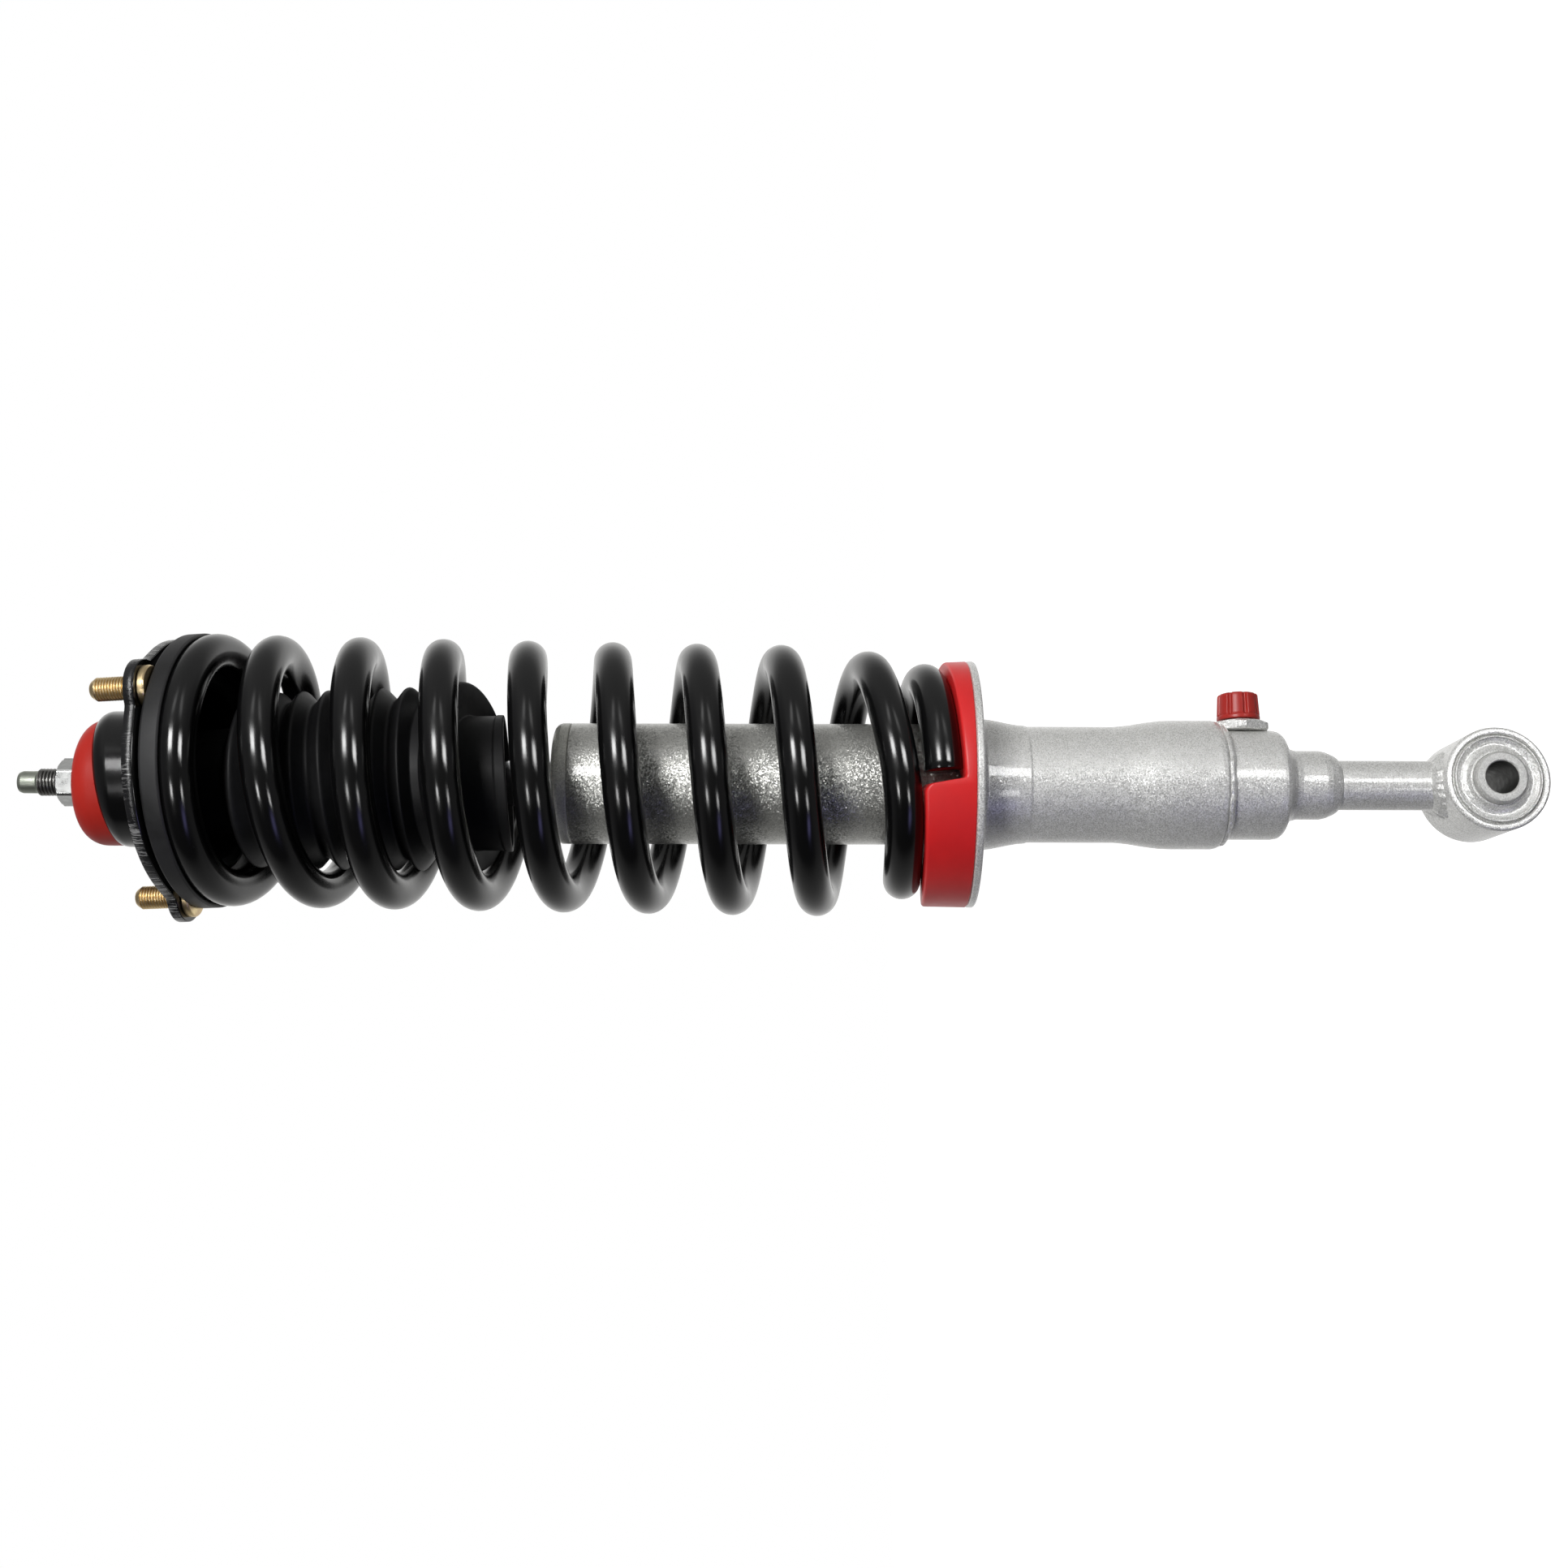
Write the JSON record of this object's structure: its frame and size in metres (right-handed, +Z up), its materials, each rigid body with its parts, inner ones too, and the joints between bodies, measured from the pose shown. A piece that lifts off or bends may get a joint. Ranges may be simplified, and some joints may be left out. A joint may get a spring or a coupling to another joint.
{
  "type": "strut assembly",
  "caption": "Coil-over strut with a gloss black spring, silver adjustable damper, red isolators and knob, rubber boot, studded top mount and bushed lower eye.",
  "frame": {"origin": "centre of the lower eye bore", "axes": "+Z up the damper axis to the rod tip, +X towards the damping adjuster knob, +Y along the lower eye bore"},
  "size_m": [0.1264, 0.1249, 0.6682],
  "materials": {
    "silver_paint": "satin metallic silver paint with visible flake",
    "bare_steel": "turned or pressed steel",
    "black_rubber": "moulded matte",
    "silvered_rubber": "rubber with silver paint over it",
    "sintered_iron": "sintered and oiled",
    "slide_band": "filled PTFE band",
    "red_urethane": "moulded polyurethane, satin",
    "black_gloss_paint": "glossy powder coat",
    "hard_chrome": "ground hard chrome",
    "foam_urethane": "cellular polyurethane",
    "yellow_zinc": "yellow passivated zinc",
    "white_zinc": "bright zinc",
    "red_knob": "satin red"
  },
  "bodies": {
    "sleeve": {"bush_inner_sleeve": "bare_steel"},
    "damper": {"eye_barrel": "silver_paint", "bush_outer_shell": "bare_steel", "bush_rubber": "silvered_rubber", "lower_stem": "silver_paint", "stem_weld": "silver_paint", "adjuster_housing": "silver_paint", "base_weld": "silver_paint", "adjuster_fitting": "silver_paint", "adjuster_seal": "black_rubber", "reservoir_tube": "silver_paint", "tube_cap": "silver_paint", "rod_seal": "black_rubber", "rod_guide": "bare_steel", "pressure_tube": "bare_steel", "foot_valve": "sintered_iron", "spring_seat": "silver_paint", "lower_spring_isolator": "red_urethane", "coil_spring": "black_gloss_paint"},
    "top": {"piston_rod": "hard_chrome", "piston": "sintered_iron", "piston_band": "slide_band", "piston_shims": "bare_steel", "piston_nut": "bare_steel", "rebound_stop": "black_rubber", "bump_stop": "foam_urethane", "dust_boot": "black_rubber", "lower_washer": "bare_steel", "lower_mount_bushing": "red_urethane", "spacer_sleeve": "bare_steel", "mount_plate": "black_gloss_paint", "mount_studs": "yellow_zinc", "spring_insulator": "black_rubber", "upper_mount_bushing": "red_urethane", "upper_washer": "white_zinc", "rod_nut": "white_zinc"},
    "adjuster": {"adjuster_spindle": "bare_steel", "adjuster_knob": "red_knob", "knob_screw": "bare_steel"}
  },
  "joints": [
    {"name": "lower_bush_twist", "type": "hinge", "parent": "sleeve", "child": "damper", "pos_m": [0, 0, 0], "axis": [0, 1, 0], "range_deg": [-15, 15], "stiffness_Nm_per_rad": 120},
    {"name": "damper_stroke", "type": "slide", "parent": "damper", "child": "top", "axis": [0, 0, -1], "range_m": [0, 0.11], "stiffness_N_per_m": 80000, "deforming": ["coil_spring"]},
    {"name": "adjuster_turn", "type": "hinge", "parent": "damper", "child": "adjuster", "pos_m": [0.03, 0, 0.1066], "axis": [1, 0, 0], "range_deg": [0, 320]}
  ]
}
